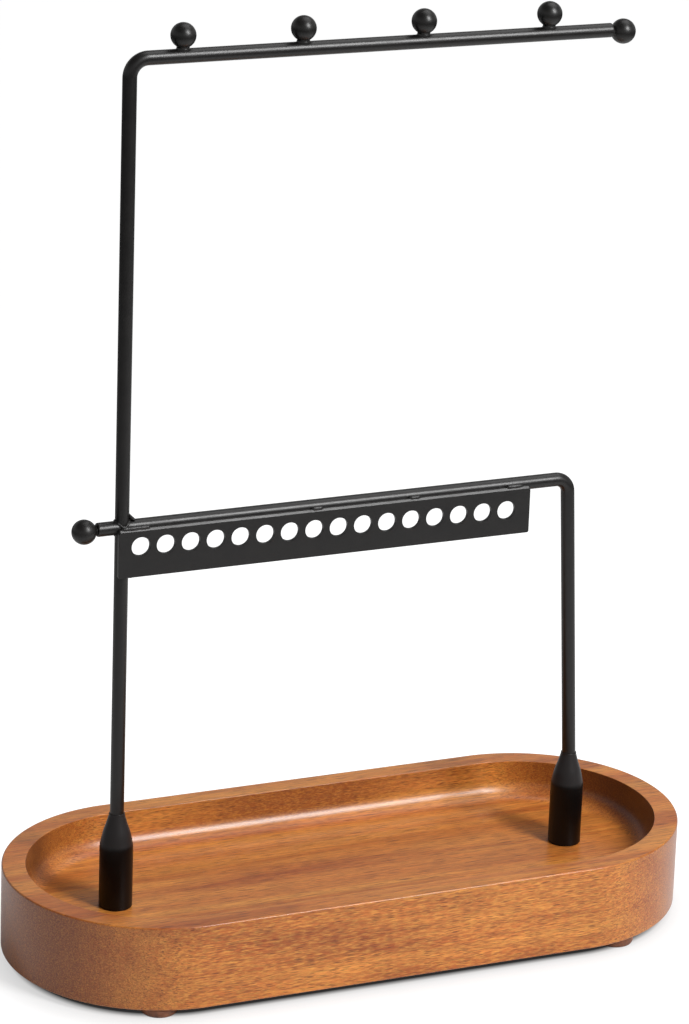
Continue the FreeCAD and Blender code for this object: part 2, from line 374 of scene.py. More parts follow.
        # Vessels are cut short on the sides, where they leave the face, and run long on top
        short, long = (self.vessels(tree, cell)
                       for cell in (self.short_vessel_mm, self.long_vessel_mm))
        ticks = add(tree, "Mix", {
            0: level, 2: short, 3: both("MULTIPLY", long, self.long_vessel_share)})
        pores = both("MULTIPLY", spread(self.pore.lay(tree), self.pores),
                     spread(level, self.pores_by_level))
        ticks = both("MAXIMUM", ticks, pores)

        golden = both("MULTIPLY", spread(self.mottle.lay(tree), self.mottling),
                      spread(level, self.mottling_by_level))
        figure = add(tree, "ValToRGB", (self.figure.lay(tree),), stops=self.heart_to_sap)
        wood = layers(
            tree, figure, ("MIX", golden, gold),
            ("MULTIPLY", 1.0, spread(self.ribbon.lay(tree), self.ribbon_shade)),
            ("MULTIPLY", 1.0, shade), ("MIX", spread(end, self.end_share), cut_across),
            ("MIX", self.inward(tree), wall), ("MIX", ticks, tick))
        bump = add(tree, "Bump", {
            "Height": ticks, "Strength": self.vessel_relief,
            "Distance": self.vessel_depth_mm * MM}, invert=True)
        rough = spread(fibre, (0.0, 1.0, self.roughness - self.uneven,
                               self.roughness + self.uneven))
        return {"Base Color": wood, "Roughness": rough, "IOR": 1.5,
                "Specular IOR Level": self.gloss, "Coat Weight": self.lacquer[0],
                "Coat Roughness": self.lacquer[1], "Normal": bump}


@dataclass(frozen=True)
class BlackCoat(Finish):
    """Black paint or powder baked on steel.

    The eye gets a nearly black surface with soft grey highlights that the fine orange peel of the
    coat breaks up a little. Above some height it can be drawn a little paler, as a painted sheen
    for the light that an upturned surface catches.
    """

    colour: str
    bloom: str
    roughness: float
    gloss: float
    uneven: float = 0.06
    mottle: Streaks = Streaks(5.0, 5.0, 4.0)
    bloom_between: Pair = (0.35, 0.70)
    peel: Streaks = Streaks(0.45, 0.45, 2.0)
    peel_depth_mm: float = 0.02
    peel_relief: float = 0.35
    # Painted sheen: a paler colour above a height, and how far it takes to fade in
    painted_sheen: str | None = None
    painted_sheen_above: float = 0.0
    painted_sheen_over_mm: float = 0.8

    def surface(self, tree: NodeTree) -> dict[str, object]:
        """Give the inputs of the coat.

        Args:
            tree: Node tree that takes the nodes.

        Returns:
            Inputs of the surface by name.
        """
        mottle = self.mottle.lay(tree)
        stops = list(zip(self.bloom_between, (self.colour, self.bloom)))
        coat = add(tree, "ValToRGB", (mottle,), stops=stops)
        # Painted sheen: above the given height the coat is drawn paler
        if self.painted_sheen is not None:
            height = add(tree, "SeparateXYZ", (add(tree, "TexCoord", out="Object"),), "Z")
            painted_sheen_share = add(tree, "MapRange", (
                height, self.painted_sheen_above, self.painted_sheen_above + self.painted_sheen_over_mm * MM))
            coat = layers(tree, coat, ("MIX", painted_sheen_share, linear(self.painted_sheen)))
        bump = add(tree, "Bump", {
            "Height": self.peel.lay(tree), "Strength": self.peel_relief,
            "Distance": self.peel_depth_mm * MM})
        rough = add(tree, "MapRange", (mottle, 0.0, 1.0, self.roughness - self.uneven,
                                       self.roughness + self.uneven))
        return {"Base Color": coat, "Roughness": rough, "IOR": 1.5,
                "Specular IOR Level": self.gloss, "Normal": bump}


@dataclass(frozen=True)
class BrownSilicone(Finish):
    """Moulded silicone rubber, tinted brown.

    The eye gets a soft satin button that lets a little light into its edge.
    """

    name: str = "silicone_brown_moulded"
    tint: Stops = ((0.35, "#6d4330"), (0.65, "#8a5a41"))
    cloud: Streaks = Streaks(2.5, 2.5, 2.0)
    roughness: float = 0.45
    glow_share: float = 0.4
    glow_by_colour: tuple[float, float, float] = (1.0, 0.5, 0.3)
    glow_depth_mm: float = 0.8

    def surface(self, tree: NodeTree) -> dict[str, object]:
        """Give the inputs of the rubber.

        Args:
            tree: Node tree that takes the nodes.

        Returns:
            Inputs of the surface by name.
        """
        tint = add(tree, "ValToRGB", (self.cloud.lay(tree),), stops=self.tint)
        return {"Base Color": tint, "Roughness": self.roughness, "IOR": 1.41,
                "Subsurface Weight": self.glow_share, "Subsurface Radius": self.glow_by_colour,
                "Subsurface Scale": self.glow_depth_mm * MM}


@dataclass(frozen=True)
class ZincScrew(Finish):
    """Steel screw, cold headed and bright zinc plated.

    The eye gets pale grey metal with faint clouds left by the header and the plating.
    """

    name: str = "steel_bright_zinc"
    plate: Stops = ((0.35, "#8f9296"), (0.65, "#b9bcc0"))
    cloud: Streaks = Streaks(0.4, 0.4, 3.0)
    roughness: Pair = (0.25, 0.40)

    def surface(self, tree: NodeTree) -> dict[str, object]:
        """Give the inputs of the plated steel.

        Args:
            tree: Node tree that takes the nodes.

        Returns:
            Inputs of the surface by name.
        """
        clouds = self.cloud.lay(tree)
        plate = add(tree, "ValToRGB", (clouds,), stops=self.plate)
        return {"Base Color": plate, "Metallic": 1.0,
                "Roughness": add(tree, "MapRange", (clouds, 0.0, 1.0, *self.roughness))}


# --- The modelling bench ---


def at(x: float | None = None, y: float | None = None, z: float | None = None) -> Test:
    """Test for what lies wholly at the given places.

    Args:
        x: Place along X, or None where any place will do.
        y: Place along Y, or None.
        z: Place along Z, or None.

    Returns:
        The test, for a selection.
    """
    wanted = [(axis, place) for axis, place in enumerate((x, y, z)) if place is not None]
    return lambda points: all(
        abs(p[axis] - place) < TOUCH for p in points for axis, place in wanted)


class Workpiece:
    """One mesh on the bench: started from a primitive, shaped in edit mode, then dressed."""

    def __init__(self, name: str, primitive: Callable[..., set[str]], **settings: object) -> None:
        """Add a primitive with nothing else selected, and put its place into its mesh.

        Args:
            name: Name of the piece.
            primitive: Operator that adds the primitive.
            settings: Arguments of that operator.
        """
        if bpy.context.mode != "OBJECT":
            bpy.ops.object.mode_set(mode="OBJECT")
        bpy.ops.object.select_all(action="DESELECT")
        primitive(**settings)
        bpy.ops.object.transform_apply(location=True, rotation=True, scale=True)
        self.piece: bpy.types.Object = bpy.context.active_object
        self.piece.name = name
        self.piece.data.name = name

    def mode(self, name: str) -> None:
        """Make this piece the active one.

        Args:
            name: The mode that it goes into, EDIT or OBJECT.
        """
        if bpy.context.mode != "OBJECT":
            bpy.ops.object.mode_set(mode="OBJECT")
        bpy.ops.object.select_all(action="DESELECT")
        self.piece.select_set(True)
        bpy.context.view_layer.objects.active = self.piece
        if name != "OBJECT":
            bpy.ops.object.mode_set(mode=name)

    def select(self, element: Element, test: Test) -> None:
        """Select what passes a test, in edit mode.

        Args:
            element: Vertices, edges or faces.
            test: Called with the corner points of each element.
        """
        if bpy.context.mode != "EDIT_MESH":
            self.mode("EDIT")
        bpy.ops.mesh.select_mode(type=element.value)
        bpy.ops.mesh.select_all(action="DESELECT")
        shape = bmesh.from_edit_mesh(self.piece.data)
        single = element is Element.VERTICES
        items = {Element.VERTICES: shape.verts, Element.EDGES: shape.edges,
                 Element.FACES: shape.faces}[element]
        for item in items:
            if test([item.co] if single else [v.co for v in item.verts]):
                item.select_set(True)
        shape.select_flush_mode()
        bmesh.update_edit_mesh(self.piece.data)

    def nudge(self, rule: Callable[[Vector], Vector]) -> None:
        """Move each selected vertex.

        Args:
            rule: Gives the new place of a vertex from its old one.
        """
        shape = bmesh.from_edit_mesh(self.piece.data)
        for vertex in shape.verts:
            if vertex.select:
                vertex.co = rule(vertex.co)
        bmesh.update_edit_mesh(self.piece.data)

    def extrude(self, reach: Vector) -> None:
        """Extrude the selection along a vector."""
        bpy.ops.mesh.extrude_region_move(TRANSFORM_OT_translate={"value": tuple(reach)})

    def move(self, x: float = 0.0, z: float = 0.0) -> None:
        """Move the selection along X and Z."""
        bpy.ops.transform.translate(value=(x, 0, z))

    def bevel(self, radius_mm: float, steps: int) -> None:
        """Round the selected edges."""
        bpy.ops.mesh.bevel(offset=radius_mm * MM, offset_type="OFFSET", segments=steps,
                           affect="EDGES", clamp_overlap=True)

    def modify(self, kind: str, **settings: object) -> None:
        """Add a modifier and apply it.

        Args:
            kind: Blender's name of the modifier type.
            settings: Properties of the modifier.
        """
        self.mode("OBJECT")
        modifier = self.piece.modifiers.new(kind.lower(), kind)
        for name, value in settings.items():
            setattr(modifier, name, value)
        bpy.ops.object.modifier_apply(modifier=modifier.name)

    def cut(self, cutter: "Workpiece") -> None:
        """Cut another piece's shape out of this one.

        Args:
            cutter: The other piece, which is thrown away.
        """
        cutter.mode("OBJECT")
        self.modify("BOOLEAN", object=cutter.piece, operation="DIFFERENCE", solver="EXACT")
        bpy.data.objects.remove(cutter.piece)

    def face_outwards(self) -> None:
        """Merge doubles and point every face outwards."""
        self.mode("EDIT")
        bpy.ops.mesh.select_all(action="SELECT")
        bpy.ops.mesh.remove_doubles(threshold=TOUCH / 10)
        bpy.ops.mesh.normals_make_consistent(inside=False)

    def dress(self, finish: Material, slot: Slot, body: Body, *nodes: str,
              smooth_to: float = 40.0) -> None:
        """Smooth the piece, give it its finish and its body, and let it stand for its solids.

        Args:
            finish: Material of the piece.
            slot: The record's slot of that material; not used.
            body: Body that carries the piece.
            nodes: Solids that it replaces.
            smooth_to: Edges flatter than this angle, in degrees, are shaded smooth.
        """
        self.mode("OBJECT")
        bpy.ops.object.shade_smooth_by_angle(angle=math.radians(smooth_to))
        self.modify("WEIGHTED_NORMAL", keep_sharp=True, weight=50)
        self.piece.data.materials.clear()
        self.piece.data.materials.append(finish)
        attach(self.piece, body.value)
        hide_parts(*nodes)
        log.info("%s: %d faces, for %s", self.piece.name, len(self.piece.data.polygons),
                 ", ".join(nodes))


class DrawnStock(Workpiece):
    """A piece that is drawn out of its selected end."""

    tip: Vector
    heading: Vector
    radius: float

    def draw(self, length: float, radius: float | None = None) -> None:
        """Draw the stock on.

        Args:
            length: How far it is drawn.
            radius: Its new radius, or None where that stays.
        """
        self.extrude(self.heading * length)
        self.tip = self.tip + self.heading * length
        if radius is not None and abs(radius - self.radius) > TOUCH / 100:
            bpy.ops.transform.resize(value=(radius / self.radius,) * 3,
                                     center_override=tuple(self.tip))
            self.radius = radius


class RoundStock(DrawnStock):
    """A round piece drawn out of a disc: straight, bent or to another width."""

    def __init__(self, name: str, start: Vector, heading: Vector, radius: float,
                 sides: int = 40) -> None:
        """Start with a disc across the heading.

        Args:
            name: Name of the piece.
            start: Middle of the first disc.
            heading: Direction in which the stock is drawn.
            radius: Radius of the disc.
            sides: Corners of the round section.
        """
        turn = heading.to_track_quat("Z", "Y").to_euler()
        super().__init__(name, bpy.ops.mesh.primitive_circle_add, vertices=sides, radius=radius,
                         fill_type="NGON", location=start, rotation=turn)
        self.tip = start.copy()
        self.heading = heading.normalized()
        self.radius = radius
        self.select(Element.FACES, lambda points: True)

    def bend(self, towards: Vector, bend_radius: float, angle: float, steps: int = 14) -> None:
        """Bend the stock round a point beside its tip.

        Args:
            towards: Direction from the tip to the middle of the bend, square to the heading.
            bend_radius: Radius of the bend, to the stock's axis.
            angle: How far the heading turns, in radians.
            steps: Sections along the bend.
        """
        inward = (towards - self.heading * towards.dot(self.heading)).normalized()
        centre = self.tip + inward * bend_radius
        axis = inward.cross(self.heading)
        bpy.ops.mesh.spin(steps=steps, angle=angle, center=tuple(centre), axis=tuple(axis))
        turn = Matrix.Rotation(-angle, 3, axis)
        self.tip = centre + turn @ (self.tip - centre)
        self.heading = turn @ self.heading

    def round_off(self, place: Vector, radius_mm: float, steps: int = 3) -> None:
        """Round the edge of an end face.

        Args:
            place: Middle of the face.
            radius_mm: Radius of the rounding.
            steps: Sections of the rounding.
        """
        reach = self.radius + TOUCH
        self.select(Element.FACES, lambda points: len(points) > 4 and (
            sum(points, Vector()) / len(points) - place).length < reach / 4)
        bpy.ops.mesh.region_to_loop()
        self.bevel(radius_mm, steps)


class BallOnStem(DrawnStock):
    """A ball whose stem is drawn out of it to a rod."""

    def __init__(self, name: str, centre: Vector, heading: Vector, radius: float,
                 mouth: float) -> None:
        """Start with a ball that is open where its stem leaves it.

        Args:
            name: Name of the piece.
            centre: Middle of the ball.
            heading: Direction from the ball to the rod.
            radius: Radius of the ball.
            mouth: Radius of the opening.
        """
        turn = heading.to_track_quat("Z", "Y").to_euler()
        super().__init__(name, bpy.ops.mesh.primitive_uv_sphere_add, segments=48, ring_count=28,
                         radius=radius, location=centre, rotation=turn)
        self.heading = heading.normalized()
        rim = math.sqrt(radius ** 2 - mouth ** 2)
        self.select(Element.FACES, lambda points: min(
            (p - centre).dot(self.heading) for p in points) > rim)
        bpy.ops.mesh.delete(type="FACE")
        edge = max((v.co - centre).dot(self.heading)
                   for v in bmesh.from_edit_mesh(self.piece.data).verts)
        self.tip = centre + self.heading * edge
        self.select(Element.EDGES, lambda points: all(
            abs((p - centre).dot(self.heading) - edge) < TOUCH for p in points))
        self.radius = math.sqrt(radius ** 2 - edge ** 2)


# --- Tray ---


@dataclass
class RingTray:
    """The oval wooden tray with its coved well."""

    finish: Material
    rim_mm: float = 6.2
    cove: Round = (5.2, 10)
    inner_round: Round = (0.18, 3)
    rim_round: Round = (0.45, 4)
    base_round: Round = (0.55, 5)
    screw_hole_mm: float = 3.4
    countersink_mm: float = 6.2
    end_facets: int = 130

    def __post_init__(self) -> None:
        """Read the tray's sizes from its solid."""
        length, self.width, self.height = size("tray")
        self.half_straight = (length - self.width) / 2
        self.bottom = low("tray").z
        self.top = high("tray").z
        self.floor = low("ferrule_left").z

    def off_axis(self, point: Vector) -> float:
        """Distance of a point from the line between the middles of the two round ends."""
        return math.hypot(max(abs(point.x) - self.half_straight, 0.0), point.y)

    def block(self) -> Workpiece:
        """Mill the oval block: sink its well and round every edge.

        Returns:
            The block, still without its screw holes.
        """
        wood = Workpiece("ring_tray", bpy.ops.mesh.primitive_cylinder_add,
                         vertices=self.end_facets, radius=self.width / 2, depth=self.height,
                         location=(0, 0, self.bottom + self.height / 2))
        for side in (-1, 1):
            wood.select(Element.VERTICES, lambda points: points[0].x * side > 0)
            wood.move(x=side * self.half_straight)
        wood.select(Element.FACES, at(z=self.top))
        bpy.ops.mesh.inset(thickness=self.rim_mm * MM)
        wood.extrude(UP * (self.floor - self.top))
        on_top = at(z=self.top)
        inner = self.width / 2 - self.rim_mm * MM / 2
        outer = self.width / 2 - TOUCH * 2
        for edges, rounding in (
                (at(z=self.floor), self.cove),
                (lambda points: on_top(points) and all(
                    self.off_axis(p) < inner for p in points), self.inner_round),
                (lambda points: on_top(points) and all(
                    self.off_axis(p) > outer for p in points), self.rim_round),
                (at(z=self.bottom), self.base_round)):
            wood.select(Element.EDGES, edges)
            wood.bevel(*rounding)
        return wood

    def screw_hole(self, x: float) -> Workpiece:
        """Make the cutter for one countersunk screw hole.

        Args:
            x: Place of the hole along the tray.

        Returns:
            The cutter.
        """
        wide, slim = self.countersink_mm / 2 * MM, self.screw_hole_mm / 2 * MM
        hole = RoundStock("screw_hole", Vector((x, 0, self.bottom - MM)), UP, wide)
        hole.draw(MM)
        hole.draw(wide - slim, slim)
        hole.draw(self.height)
        hole.face_outwards()
        return hole

    def build(self) -> None:
        """Make the tray and dress it."""
        wood = self.block()
        for node in ("ferrule_left", "ferrule_right"):
            wood.cut(self.screw_hole(middle(node).x))
        wood.dress(self.finish, Slot.WOOD, Body.BASE, "tray", smooth_to=35.0)


@dataclass
class Feet:
    """Four moulded buttons stuck under the tray."""

    finish: Material
    spread_mm: float = 0.6
    top_share: float = 0.98
    flat_share: float = 0.84
    skirt_mm: float = 0.8
    dome_steps: int = 7
    names: tuple[str, ...] = ("foot_front_left", "foot_front_right", "foot_back_left",
                              "foot_back_right")

    def build(self) -> None:
        """Make each foot, pressed a little wider by the weight and domed towards the table."""
        skirt = self.skirt_mm * MM
        for node in self.names:
            base = middle(node)
            radius = size(node).x / 2 + self.spread_mm * MM
            top = Vector((base.x, base.y, high(node).z))
            button = RoundStock(node + "_button", top, -UP, radius * self.top_share)
            button.draw(skirt / 2, radius)
            button.draw(skirt / 2)
            dome = size(node).z - skirt
            flat = radius * self.flat_share
            for step in range(1, self.dome_steps + 1):
                angle, before = (math.pi / 2 * s / self.dome_steps for s in (step, step - 1))
                button.draw(dome * (math.sin(angle) - math.sin(before)),
                            flat + (radius - flat) * math.cos(angle))
            button.face_outwards()
            button.dress(self.finish, Slot.FOOT, Body.BASE, node)


@dataclass
class Ferrules:
    """The two bullet-shaped sockets."""

    finish: Material
    base_round_mm: float = 0.25
    base_round_step: float = 0.3
    knee_mm: Pair = (3.55, 3.6)               # radius above the steep cone, and its height
    hollow: Pair = (0.55, 0.40)               # share of the slim cone drawn, and of its taper left
    tip_mm: float = 2.05
    lip_mm: float = 0.5
    socket_gap_mm: float = 0.05
    mouth_depth_mm: float = 1.6
    edge_rounds: tuple[Round, ...] = ((0.6, 4), (0.9, 4), (0.25, 3), (0.2, 3))
    sides: int = 56
    names: tuple[str, ...] = ("ferrule_left", "ferrule_right")

    def build(self) -> None:
        """Make both sockets, each drawn from its foot to its lip and back down into its mouth."""
        mouth = size("left_leg").x / 2 + self.socket_gap_mm * MM
        base_round, lip, tip = (v * MM for v in (self.base_round_mm, self.lip_mm, self.tip_mm))
        knee_radius, knee_rise = (v * MM for v in self.knee_mm)
        drawn, left = self.hollow
        for node in self.names:
            base = middle(node)
            foot = Vector((base.x, base.y, low(node).z))
            radius, height = size(node).x / 2, size(node).z
            nose = height - lip - SHOULDER - knee_rise
            socket = RoundStock(node + "_socket", foot, UP, radius - base_round, self.sides)
            for length, wide in (
                    (base_round * self.base_round_step, radius - base_round * self.base_round_step),
                    (base_round * (1 - self.base_round_step), radius),
                    (SHOULDER - base_round, None), (knee_rise, knee_radius),
                    (nose * drawn, tip + (knee_radius - tip) * left), (nose * (1 - drawn), tip),
                    (lip, None), (0.0, mouth), (-self.mouth_depth_mm * MM, None)):
                socket.draw(length, wide)
            socket.face_outwards()
            rises = (SHOULDER, SHOULDER + knee_rise, height - lip, height)
            for rise, rounding in zip(rises, self.edge_rounds):
                ring = at(z=foot.z + rise)
                socket.select(Element.EDGES, lambda points: ring(points) and all(
                    math.hypot(p.x - foot.x, p.y - foot.y) > mouth + TOUCH for p in points))
                socket.bevel(*rounding)
            socket.dress(self.finish, Slot.FERRULE, Body.BASE, node, smooth_to=50.0)


# --- Frame ---


@dataclass
class FrameRods:
    """The three round rods of the frame, butt-welded where they cross."""

    finish: Material
    end_round_mm: float = 0.4
    top_bend_mm: float = 4.6
    right_bend_mm: float = 3.7
    right_corner_inset_mm: float = 4.6
    set_bend_mm: float = 7.0
    set_bend_steps: int = 4
    leg_straight_mm: float = 0.4
    crossing_reach: float = 4.0

    def __post_init__(self) -> None:
        """Read the rods' places from their solids."""
        self.radius = size("left_leg").x / 2
        self.post_x = middle("left_leg").x
        self.leg_bottom = low("left_leg").z
        self.cross_z = high("cross_rod").z - self.radius

    def complete(self, rod: RoundStock, node: str, *ends: Vector, coped: bool = False) -> None:
        """Round a rod's free ends and dress it.

        Args:
            rod: The drawn rod.
            node: Its solid.
            ends: Middles of its free end faces.
            coped: Whether it is cut to the cross rod's round surface, which it is welded to.
        """
        rod.face_outwards()
        for end in ends:
            rod.round_off(end, self.end_round_mm)
        if coped:
            reach = self.crossing_reach * self.radius
            cutter = RoundStock("crossing", Vector((self.post_x - reach, 0, self.cross_z)), RIGHT,
                                self.radius - TOUCH)
            cutter.draw(2 * reach)
            cutter.face_outwards()
            rod.cut(cutter)
        rod.dress(self.finish, Slot.ROD, Body.FRAME, node)

    def left_leg(self) -> None:
        """Straight leg under the crossing."""
        start = Vector((self.post_x, 0, self.leg_bottom))
        rod = RoundStock("left_leg_rod", start, UP, self.radius)
        rod.draw(self.cross_z - self.leg_bottom)
        self.complete(rod, "left_leg", start, coped=True)

    def cross_rod(self) -> None:
        """Side stub, cross rod and leaning right leg, in one bent rod."""
        start = Vector((low("cross_rod").x, 0, self.cross_z))
        leg_x = high("cross_rod").x - self.radius
        corner_x = leg_x - self.right_corner_inset_mm * MM
        set_rise = high("ferrule_right").z + self.leg_straight_mm * MM
        lean = math.atan((leg_x - corner_x) / (self.cross_z - set_rise))
        bend, set_bend = self.right_bend_mm * MM, self.set_bend_mm * MM
        corner_cut = bend * math.tan((math.pi / 2 - lean) / 2)
        set_cut = set_bend * math.tan(lean / 2)
        rod = RoundStock("cross_rod_bent", start, RIGHT, self.radius)
        rod.draw(corner_x - corner_cut - start.x)
        rod.bend(-UP, bend, math.pi / 2 - lean)
        slope = (self.cross_z - set_rise - set_cut) / math.cos(lean)
        rod.draw(slope - corner_cut - set_cut)
        rod.bend(-RIGHT, set_bend, lean, self.set_bend_steps)
        rod.draw(rod.tip.z - self.leg_bottom)
        self.complete(rod, "cross_rod", start, rod.tip.copy())

    def hanger_rod(self) -> None:
        """Post and top bar, in one bent rod that droops a little towards its free end."""
        bar_z = high("hanger_rod").z - self.radius
        fall = math.atan(BAR_FALL)
        bend = self.top_bend_mm * MM
        rod = RoundStock("hanger_rod_bent", Vector((self.post_x, 0, self.cross_z)), UP,
                         self.radius)
        corner_cut = bend * math.tan((math.pi / 2 + fall) / 2)
        corner_z = bar_z + bend * math.tan(fall)
        rod.draw(corner_z - corner_cut - self.cross_z)
        rod.bend(RIGHT, bend, math.pi / 2 + fall)
        rod.draw((high("hanger_rod").x - rod.tip.x) / math.cos(fall))
        self.complete(rod, "hanger_rod", rod.tip.copy(), coped=True)

    def build(self) -> None:
        """Make all three rods."""
        self.left_leg()
        self.cross_rod()
        self.hanger_rod()


@dataclass
class Knobs:
    """The four balls along the top bar and the two on the rods' free ends."""

    finish: Material
    mouth_mm: float = 1.85
    neck_mm: float = 1.6
    throat_mm: Pair = (0.10, 0.12)            # lengths of the two steps from ball to neck
    stem_shares: tuple[float, ...] = (0.45, 0.30, 0.25)
    stem_flare_mm: tuple[float, ...] = (0.0, 0.10, 0.35)
    saddle_share: float = 0.72
    end_mouth_mm: float = 1.45
    end_neck_mm: float = 1.28
    top_names: tuple[str, ...] = ("top_knob_1", "top_knob_2", "top_knob_3", "top_knob_4")

    def complete(self, knob: BallOnStem, node: str) -> None:
        """Close the stem's end and dress the ball.

        Args:
            knob: The ball with its drawn stem.
            node: Its solid.
        """
        bpy.ops.mesh.edge_face_add()
        knob.face_outwards()
        knob.dress(self.finish, Slot.KNOB, Body.FRAME, node, smooth_to=60.0)

    def top_knob(self, node: str) -> None:
        """Make one ball on the top bar, with its stem dropped onto the bar's round surface.

        Args:
            node: The knob's solid.
        """
        radius = size(node).x / 2
        centre = Vector((middle(node).x, middle(node).y, high(node).z - radius))
        bar_radius = size("left_leg").x / 2
        bar_z = high("hanger_rod").z - bar_radius - BAR_FALL * (centre.x - middle("left_leg").x)
        neck = self.neck_mm * MM
        knob = BallOnStem(node + "_ball", centre, -UP, radius, self.mouth_mm * MM)
        first, second = self.throat_mm
        knob.draw(first * MM, (knob.radius + neck) / 2)
        knob.draw(second * MM, neck)
        gap = knob.tip.z - bar_z - bar_radius
        for share, flare in zip(self.stem_shares, self.stem_flare_mm):
            knob.draw(gap * share, neck + flare * MM)

        def saddle(point: Vector) -> Vector:
            """Drop a point of the rim onto the bar, narrower across it than along it.

            Args:
                point: Old place of the point.

            Returns:
                Its new place.
            """
            across = self.saddle_share * (point.y - centre.y)
            rise = math.sqrt(bar_radius ** 2 - across ** 2)
            return Vector((point.x, centre.y + across, bar_z + rise - TOUCH))

        knob.nudge(saddle)
        self.complete(knob, node)

    def end_knob(self, node: str, heading: Vector, rod_end: float) -> None:
        """Make one ball on a rod's end face.

        Args:
            node: The knob's solid.
            heading: Direction from the ball to the rod.
            rod_end: X of the rod's end face.
        """
        radius = size(node).z / 2
        outer = high(node).x if heading.x < 0 else low(node).x
        centre = Vector((outer + math.copysign(radius, heading.x), middle(node).y,
                         middle(node).z))
        knob = BallOnStem(node + "_ball", centre, heading, radius, self.end_mouth_mm * MM)
        gap = abs(rod_end - knob.tip.x)
        for _ in range(2):
            knob.draw(gap / 2, self.end_neck_mm * MM)
        self.complete(knob, node)

    def build(self) -> None:
        """Make all six balls."""
        for node in self.top_names:
            self.top_knob(node)
        self.end_knob("side_knob", RIGHT, low("cross_rod").x)
        self.end_knob("bar_end_knob", -RIGHT, high("hanger_rod").x)


@dataclass
class EarringStrip:
    """The flat strip with its row of punched holes."""

    finish: Material
    holes: int = 16
    pitch_mm: float = 6.69
    hole_mm: float = 5.0
    first_in_mm: float = 5.9
    first_down_mm: float = 4.7
    row_fall_mm: float = 1.3
    corner: Round = (0.5, 4)
    rolled_mm: float = 0.38
    rolled_down_mm: float = 0.56
    edge_mm: float = 0.14
    edge_steps: int = 2
    edge_angle: float = 50.0
    cell_cuts: int = 7

    def __post_init__(self) -> None:
        """Read the strip's place from its solid, and place its first hole."""
        self.start, self.end = low("earring_strip"), high("earring_strip")
        self.pitch = self.pitch_mm * MM
        self.hole = self.hole_mm / 2 * MM
        self.first = Vector((self.start.x + self.first_in_mm * MM, self.start.y,
                             self.end.z - self.first_down_mm * MM))

    def punched_cell(self) -> Workpiece:
        """Bridge a ring from a hole to the edge of its cell.

        Returns:
            The first cell of the row, without thickness.
        """
        centre = Vector((self.first.x, self.start.y, (self.start.z + self.end.z) / 2))
        upright = (math.pi / 2, 0, 0)
        strip = Workpiece("earring_strip_punched", bpy.ops.mesh.primitive_plane_add,
                          size=self.pitch, location=centre, rotation=upright)
        strip.select(Element.FACES, lambda points: True)
        tall = (self.end.z - self.start.z) / self.pitch
        bpy.ops.transform.resize(value=(1, 1, tall), center_override=tuple(centre))
        bpy.ops.mesh.delete(type="ONLY_FACE")
        bpy.ops.mesh.select_all(action="SELECT")
        bpy.ops.mesh.subdivide(number_cuts=self.cell_cuts)
        bpy.ops.mesh.select_all(action="DESELECT")
        bpy.ops.mesh.primitive_circle_add(vertices=4 * (self.cell_cuts + 1), radius=self.hole,
                                          location=self.first, rotation=upright)
        bpy.ops.mesh.select_all(action="SELECT")
        bpy.ops.mesh.select_mode(type="EDGE")
        bpy.ops.mesh.bridge_edge_loops()
        return strip

    def repeat(self, strip: Workpiece) -> None:
        """Repeat the cell along the row, which falls a little, and reach out to both ends.

        Args:
            strip: The first cell.
        """
        strip.modify("ARRAY", count=self.holes, use_relative_offset=False,
                     use_constant_offset=True, constant_offset_displace=(self.pitch, 0, 0),
                     use_merge_vertices=True, merge_threshold=TOUCH)
        fall = self.row_fall_mm * MM / (self.holes - 1)
        for index in range(self.holes):
            centre = self.first + RIGHT * (self.pitch * index)
            strip.select(Element.VERTICES, lambda points: (points[0] - centre).length
                         < self.hole + TOUCH)
            strip.move(z=-fall * index)
        for end, reach in ((self.start.x, self.first.x - self.pitch / 2),
                           (self.end.x, self.first.x + self.pitch * (self.holes - 0.5))):
            strip.select(Element.EDGES, at(x=reach))
            strip.extrude(RIGHT * (end - reach))

    def shape_edges(self, strip: Workpiece) -> None:
        """Roll the upper front edge as a shear leaves it, and round the corners and edges.

        Args:
            strip: The strip with its thickness.
        """
        front, top = self.start.y, self.end.z
        strip.select(Element.EDGES, at(y=front, z=top))
        strip.bevel(self.rolled_mm, 1)
        strip.select(Element.VERTICES, at(y=front, z=top - self.rolled_mm * MM))
        strip.move(z=(self.rolled_mm - self.rolled_down_mm) * MM)
        for x in (self.start.x, self.end.x):
            for z, reach in ((self.start.z, 0.0), (top, self.rolled_down_mm * MM)):
                strip.select(Element.EDGES, lambda points: at(x=x)(points) and all(
                    abs(p.z - z) < reach + TOUCH for p in points))
                strip.bevel(*self.corner)
        strip.modify("BEVEL", width=self.edge_mm * MM, segments=self.edge_steps,
                     limit_method="ANGLE", angle_limit=math.radians(self.edge_angle))

    def build(self) -> None:
        """Make the strip and dress it."""
        strip = self.punched_cell()
        self.repeat(strip)
        to_the_rod = 1 if strip.piece.data.polygons[0].normal.y > 0 else -1
        strip.modify("SOLIDIFY", thickness=self.end.y - self.start.y, offset=to_the_rod)
        strip.face_outwards()
        self.shape_edges(strip)
        strip.dress(self.finish, Slot.STRIP, Body.FRAME, "earring_strip", smooth_to=28.0)


